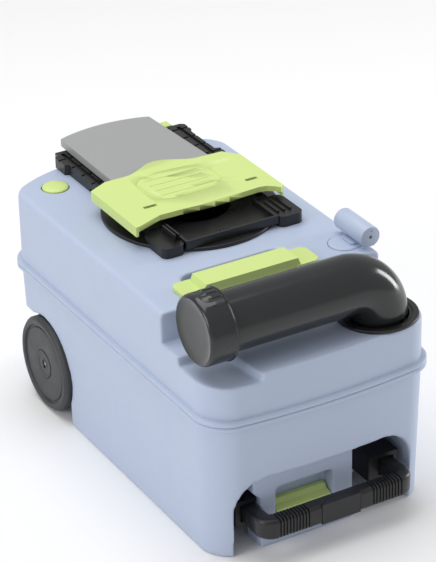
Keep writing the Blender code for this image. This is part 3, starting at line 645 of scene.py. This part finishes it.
# ---- spout and cap -----------------------------------------------------------------------------
def spout():
    """Ring in the lower deck, and the elbow swept from inside it up and out along -x."""
    lo, hi = mm_box("spout_ring")
    top, r = hi.z, (hi.x - lo.x) / 2
    base, dip = STEP + 0.3, top - 1.2
    profile = rounded([(r, base), (r, top), (34.5, top), (33.6, dip), (31.0, dip),
                       (29.4, lo.z), (31.6, lo.z), (31.6, base)], [0.3, 1.3, 0.7, 0.4, 0.6, 0.3, 0.3, 0])
    piece(turned("spout_ring_skin", profile, (SPOUT.x, SPOUT.y, 0), mat=BLACK, steps=128), "spout_ring")
    bend = SPOUT_Z - STEP - 3.0
    lift = STEP + 3.8
    centre_x = SPOUT.x - bend
    mouth = CAP_LO.x + 6.0
    steps, around = 36, 72

    def stations(run_r, neck_r, extra):
        """(x, z), heading in degrees and radius along the pipe; extra lengthens both ends."""
        shoulder = run_r if extra else run_r - 0.6
        path = [((SPOUT.x, lo.z - 4 - extra), 90.0, neck_r), ((SPOUT.x, top + 0.6), 90.0, neck_r),
                ((SPOUT.x, top + 0.7), 90.0, shoulder), ((SPOUT.x, top + 1.3), 90.0, run_r)]
        for i in range(1, steps + 1):
            turn = 90 * i / steps
            t = math.radians(turn)
            at = (centre_x + bend * math.cos(t), lift + (SPOUT_Z - lift) * math.sin(t))
            path.append((at, 90 + turn, run_r))
        run = centre_x - mouth
        path += [((centre_x - run * k / 8, SPOUT_Z), 180.0, run_r) for k in range(1, 8)]
        path.append(((mouth - extra, SPOUT_Z), 180.0, run_r))
        return path

    def sweep(run_r, neck_r, extra):
        across = Vector((0, 1, 0))
        angles = [2 * math.pi * k / around for k in range(around)]
        rings = []
        for (x, z), heading, r in stations(run_r, neck_r, extra):
            h = math.radians(heading)
            side = Vector((math.sin(h), 0, -math.cos(h)))
            rings.append([Vector((x, SPOUT.y, z)) + side * r * math.cos(a) + across * r * math.sin(a)
                          for a in angles])
        return rings
    elbow = finish("spout_elbow_skin", loft(bmesh.new(), sweep(PIPE_R, NECK_R, 0)), GLOSS)
    cut(elbow, finish("spout_bore", loft(bmesh.new(), sweep(PIPE_BORE, NECK_BORE, 6))))
    elbow.data.shade_smooth()
    elbow.data.set_sharp_from_angle(angle=math.radians(40))
    piece(elbow, "spout_elbow")


def cap():
    """Screw cap: rolled rim, dished end, and two groups of ribs on its collar."""
    r = (CAP_HI.z - CAP_LO.z) / 2
    x0, x1 = CAP_LO.x, CAP_HI.x
    inner = PIPE_R + 1.0
    rib_height = 1.1
    body = r - rib_height
    first, spread, pitch, rib_width = 160.0, 52, 14, 7.5         # degrees round the axis

    def ribs(t, radius, h):
        """Four ribs at the top and four opposite them; the collar is plain between."""
        if radius < r - 1.25 or not (x1 - 17 < h < x1 - 2.4):
            return 0.0
        turn = (math.degrees(t) - first) % 180.0
        return 0.0 if turn < spread and turn % pitch < rib_width else -rib_height
    end, plate = x0 + 2.2, x0 + 4.4
    shape = [(r - 14.0, x0 + 1.8), (r - 9.0, x0 + 1.4), (r - 6.0, x0 + 0.6), (r - 4.2, x0),
             (r - 2.6, x0 + 0.9), (r - 1.6, x0 + 2.6), (body, x0 + 6.0), (body, x1 - 17.2),
             (r, x1 - 15.8), (r, x1 - 12.0), (r, x1 - 7.0), (r, x1 - 3.2), (body, x1 - 2.3),
             (r - 0.1, x1 - 1.5), (r - 0.1, x1 - 0.6), (r - 0.8, x1), (inner + 0.4, x1),
             (inner, x1 - 0.4), (inner, plate), (0.8, plate), (0.8, end)]
    axis = (0, SPOUT.y, SPOUT_Z)
    lid = turned("spout_cap_skin", shape, axis, "x", GLOSS, 300, swell=ribs)
    join(lid, turned("cap_centre", [(1.4, end), (1.4, plate)], axis, "x", steps=32, ring=False))
    lid.data.shade_smooth()
    lid.data.set_sharp_from_angle(angle=math.radians(40))
    piece(lid, "spout_cap")


# ---- grip, vent, button ------------------------------------------------------------------------
def grip():
    softened("carrying_grip", 1.1, segments=3)


def vent():
    """Round plug sunk in the deck, and the breather barrel on its saddle."""
    lo, hi = mm_box("vent_plug")
    mid = (lo + hi) / 2
    rim = hi.z - 1.9
    profile = [(11.4, lo.z), (11.4, rim), (15.9, rim), (15.9, hi.z - 0.7), (15.4, hi.z - 0.2), (14.4, hi.z)]
    piece(turned("vent_plug_skin", profile, (mid.x, mid.y, 0), mat=BLUE, ring=False), "vent_plug")
    lo, hi = mm_box("vent_barrel")
    r = (hi.x - lo.x) / 2
    mid = Vector(((lo.x + hi.x) / 2, 0, hi.z - r))
    profile = [(r - 1.6, lo.y), (r - 0.5, lo.y + 0.4), (r, lo.y + 1.4), (r, hi.y - 1.2),
               (r - 0.4, hi.y - 0.3), (r - 1.2, hi.y)]
    barrel = turned("vent_barrel_skin", profile, mid, "y", BLUE, 72, ring=False)
    before = lo.y - 9
    mark = mid + Vector((1.0, 0, 6.5))
    cut(barrel,
        turned("breather", [(1.7, before), (1.7, lo.y + 40)], mid, "y", steps=32, ring=False),
        turned("pin_mark", [(0.7, before), (0.7, lo.y + 1.2)], mark, "y", steps=20, ring=False),
        box("barrel_flat", (lo.x - 9, hi.x + 9), (before, hi.y + 9), (lo.z - 9, lo.z + 0.01)))
    barrel.data.set_sharp_from_angle(angle=math.radians(SHARP))
    piece(barrel, "vent_barrel")
    lo, hi = mm_box("vent_saddle")
    saddle = prism("vent_saddle_skin", round_box((lo.x, hi.x), (lo.y, hi.y), 3.0), lo.z, hi.z, BLUE)
    soften(saddle, 0.3, 2)
    piece(saddle, "vent_saddle")


def button():
    """Domed vent button, bored from below for its stem."""
    lo, hi = mm_box("vent_button")
    mid = (lo + hi) / 2
    r = (hi.x - lo.x) / 2
    rise = 2.6
    skirt = lo.z + 5.0
    dome = []
    for degrees in range(8, 84, 6):
        a = math.radians(degrees)
        dome.append((r * math.cos(a) * 0.985 + 0.01, hi.z - rise + rise * math.sin(a)))
    profile = [(8.0, lo.z), (8.0, skirt), (r, skirt), (r, hi.z - rise), *dome]
    lid = turned("vent_button_skin", profile, (mid.x, mid.y, 0), mat=LIME, ring=False)
    cut(lid, hole("stem_bore", 2.8, lo.z - 3, lo.z + 6, mid, 32))
    lid.data.set_sharp_from_angle(angle=math.radians(40))
    piece(lid, "vent_button")


# ---- rollers -----------------------------------------------------------------------------------
def wheels():
    """The two rollers and their hub caps, as profiles in from the outer face."""
    for tag, side in (("left", -1), ("right", 1)):
        lo, hi = mm_box(f"{tag}_wheel")
        mid = (lo + hi) / 2
        r = (hi.z - lo.z) / 2
        face = lo.x if side < 0 else hi.x
        width = hi.x - lo.x
        # (radius, depth below the outer face)
        tread = [(r - 3.4, 0), (r - 3.0, 0.15), (r - 0.5, 2.7), (r, 3.6), (r, width - 3.4),
                 (r - 0.4, width - 2.4), (r - 3, width)]
        bore = [(9.0, width), (9.0, 13.0), (6.1, 13.0), (6.1, 4.0), (15.3, 4.0), (15.3, 2.0)]
        dish = [(15.9, 1.4), (16.6, 1.3), (38.6, 1.5), (39.4, 1.7), (40.2, 2.9), (41.2, 3.1), (42.2, 2.7),
                (42.8, 1.1), (43.4, 0.3), (44.2, 0)]
        hub = [(15.0, 3.7), (15.0, 1.3), (14.5, 0.9), (12.6, 0.8), (11.8, 1.3), (6.4, 1.5), (5.4, 1.1),
               (4.2, 1.2), (3.4, 2.0), (3.4, 3.7)]

        def spun(name, profile, steps):
            points = [(radius, face - side * depth) for radius, depth in profile]
            return turned(name, points, (0, mid.y, mid.z), "x", WHEEL, steps)
        piece(spun(f"{tag}_wheel_skin", tread + bore + dish, 128), f"{tag}_wheel")
        cap_piece = spun(f"{tag}_hub_cap_skin", hub, 96)
        x_span = tuple(sorted((face + side * 2, face - side * 5)))
        cut(cap_piece, box("hub_slot", x_span, (mid.y - 1.5, mid.y + 1.5), (mid.z - 5.0, mid.z + 5.0)))
        cap_piece.data.set_sharp_from_angle(angle=math.radians(SHARP))
        piece(cap_piece, f"{tag}_hub_cap")


# ---- pull handle -------------------------------------------------------------------------------
def handle():
    """Bow handle swept along its own path, with two groups of ribs on the bar."""
    lo, hi = mm_box("pull_handle")
    z0, z1 = lo.z, hi.z
    y0 = lo.y
    depth = 16.3                # of the bar, front to back
    bend_r, arm_half = 9.0, 8.0
    ribs_from, pitch, count, rib_depth = 35.3, 3.5, 10, 1.1
    bar_half = depth / 2
    mid_x = hi.x - arm_half - 1.0
    mid_y = y0 + bar_half
    mid_z = (z0 + z1) / 2
    bar_end = mid_x - bend_r
    corner_y = mid_y + bend_r
    bend_steps, bar_steps = 16, 360
    forwards, along, backwards = Vector((0, -1)), Vector((1, 0)), Vector((0, 1))

    def groove(x):
        """Depth of the section's groove at x: the ribs stand between."""
        k = (abs(x) - ribs_from) / pitch
        return 0.0 if not 0 <= k < count or (k % 1.0) > 0.52 else rib_depth

    def bend(centre_x, start, half_from, half_to):
        """Quarter turn from the start angle, its half width changing from one value to the other."""
        stations = []
        for i in range(1, bend_steps):
            t = math.radians(start + 90 * i / bend_steps)
            at = Vector((centre_x + bend_r * math.cos(t), corner_y + bend_r * math.sin(t)))
            half = half_from + (half_to - half_from) * i / bend_steps
            stations.append((at, Vector((-math.sin(t), math.cos(t))), half, 0.0))
        return stations
    path = [(Vector((-mid_x, y)), forwards, arm_half, 0.0) for y in (hi.y, corner_y + 24, corner_y)]
    path += bend(-bar_end, 180, arm_half, bar_half)
    for i in range(bar_steps + 1):
        x = -bar_end + 2 * bar_end * i / bar_steps
        path.append((Vector((x, mid_y)), along, bar_half, groove(x)))
    path += bend(bar_end, 270, bar_half, arm_half)
    path += [(Vector((mid_x, y)), backwards, arm_half, 0.0) for y in (corner_y, corner_y + 24, hi.y)]
    rings = []
    for point, heading, half_w, sunk in path:
        side = Vector((heading.y, -heading.x))
        in_arm = abs(point.y - mid_y) > bend_r + 2
        half_h = (z1 - z0) / 2 - (2.0 if in_arm else 0.0)
        section = round_box((-half_w, half_w - sunk), (-half_h, half_h - sunk), 4.2, 6)
        rings.append([Vector((point.x + side.x * u, point.y + side.y * u, mid_z + v)) for u, v in section])
    bar = finish("pull_handle_skin", loft(bmesh.new(), rings), BLACK)

    def dee(half, bulge):
        """Half-moon in plan: straight along the bar's front, bulging back."""
        r = (half ** 2 + bulge ** 2) / (2 * bulge)
        turn = math.degrees(math.asin(half / r))
        return arc(0, y0 + bulge - r, r, 90 - turn, 90 + turn, 40)
    cut(bar, prism("catch_slot", dee(22.2, 9.3), z0 + 5, z1 + 9),
        box("catch_face_slot", (-22.0, 22.0), (y0 - 9, y0 + 2.5), (z0 - 9, z1 + 9)))
    bar.data.shade_smooth()
    bar.data.set_sharp_from_angle(angle=math.radians(38))
    piece(bar, "pull_handle")
    softened("handle_catch", 0.9, segments=3)
    # The guides are black partly as painted shade: they fill the channel mouths where the bays' interiors
    # lie in shadow.
    softened("left_handle_guide", 0.8, GUIDE_AND_SHADE)
    softened("right_handle_guide", 0.8, GUIDE_AND_SHADE)


def pocket_insert():
    softened("lock_pocket_insert", 0.5)


def carried_over():
    """The CAD nodes that stay shown get their finish from their record slot."""
    for name, obj in frame["nodes"].items():
        if obj.hide_render:
            continue
        obj.data.materials.clear()
        obj.data.materials.append(SLOTS[NODE_SLOT[name]])


# ---- stage, light and camera -------------------------------------------------------------------
def stage():
    """Plain pale floor under an even white sky."""
    floor_mat = bpy.data.materials.new("white_floor")
    floor_mat.use_nodes = True
    shader = floor_mat.node_tree.nodes["Principled BSDF"]
    shader.inputs["Base Color"].default_value = (0.93, 0.93, 0.93, 1)
    shader.inputs["Roughness"].default_value = 0.9
    size = 6.0
    mesh = bpy.data.meshes.new("floor")
    corners = [(-size, -size, 0), (size, -size, 0), (size, size, 0), (-size, size, 0)]
    mesh.from_pydata(corners, [], [(0, 1, 2, 3)])
    mesh.materials.append(floor_mat)
    floor = bpy.data.objects.new("floor", mesh)
    bpy.context.scene.collection.objects.link(floor)
    world = bpy.data.worlds.new("studio")
    world.use_nodes = True
    back = world.node_tree.nodes["Background"]
    back.inputs["Color"].default_value = (1.0, 1.0, 1.0, 1)
    back.inputs["Strength"].default_value = 0.50
    bpy.context.scene.world = world
    bpy.context.scene.view_settings.view_transform = "Standard"


def lamp(name, at, target, size, power):
    """White rectangular softbox that looks at the target."""
    data = bpy.data.lights.new(name, "AREA")
    data.shape = "RECTANGLE"
    data.size, data.size_y = size
    data.energy = power
    obj = bpy.data.objects.new(name, data)
    obj.location = at
    obj.rotation_euler = (Vector(target) - Vector(at)).to_track_quat("-Z", "Y").to_euler()
    bpy.context.scene.collection.objects.link(obj)


def lights():
    target = (0, 0, 0.15)
    lamp("top_softbox", (-0.2, 0.5, 2.2), target, (1.8, 1.8), 28)
    lamp("left_softbox", (-2.2, -0.4, 1.1), target, (1.2, 1.2), 16)
    lamp("right_strip", (2.2, -0.3, 0.6), target, (0.5, 1.2), 20)


def camera():
    """Camera on the left in front of the tank, placed from the front end's corner line."""
    azimuth, elevation, roll = (math.radians(v) for v in (-29.58, 28.29, -1.35))
    place = Vector((-1104.4, FRONT - 1746.8, 1386.1)) * MM
    back = Vector((math.sin(azimuth) * math.cos(elevation),
                   -math.cos(azimuth) * math.cos(elevation), math.sin(elevation)))
    right = Vector((math.cos(azimuth), math.sin(azimuth), 0))
    up = back.cross(right)
    right, up = (right * math.cos(roll) + up * math.sin(roll), up * math.cos(roll) - right * math.sin(roll))
    data = bpy.data.cameras.new("camera")
    data.sensor_fit = "VERTICAL"
    data.sensor_height = 24.0
    data.lens = 109.7
    data.clip_end = 50
    obj = bpy.data.objects.new("camera", data)
    obj.matrix_world = Matrix((right, up, back)).transposed().to_4x4()
    obj.location = place
    bpy.context.scene.collection.objects.link(obj)
    bpy.context.scene.camera = obj


upper_shell()
lower_shell()
collar()
tray()
rails()
guard_plate()
cover()
spout()
cap()
grip()
vent()
button()
wheels()
handle()
pocket_insert()
carried_over()
stage()
lights()
camera()
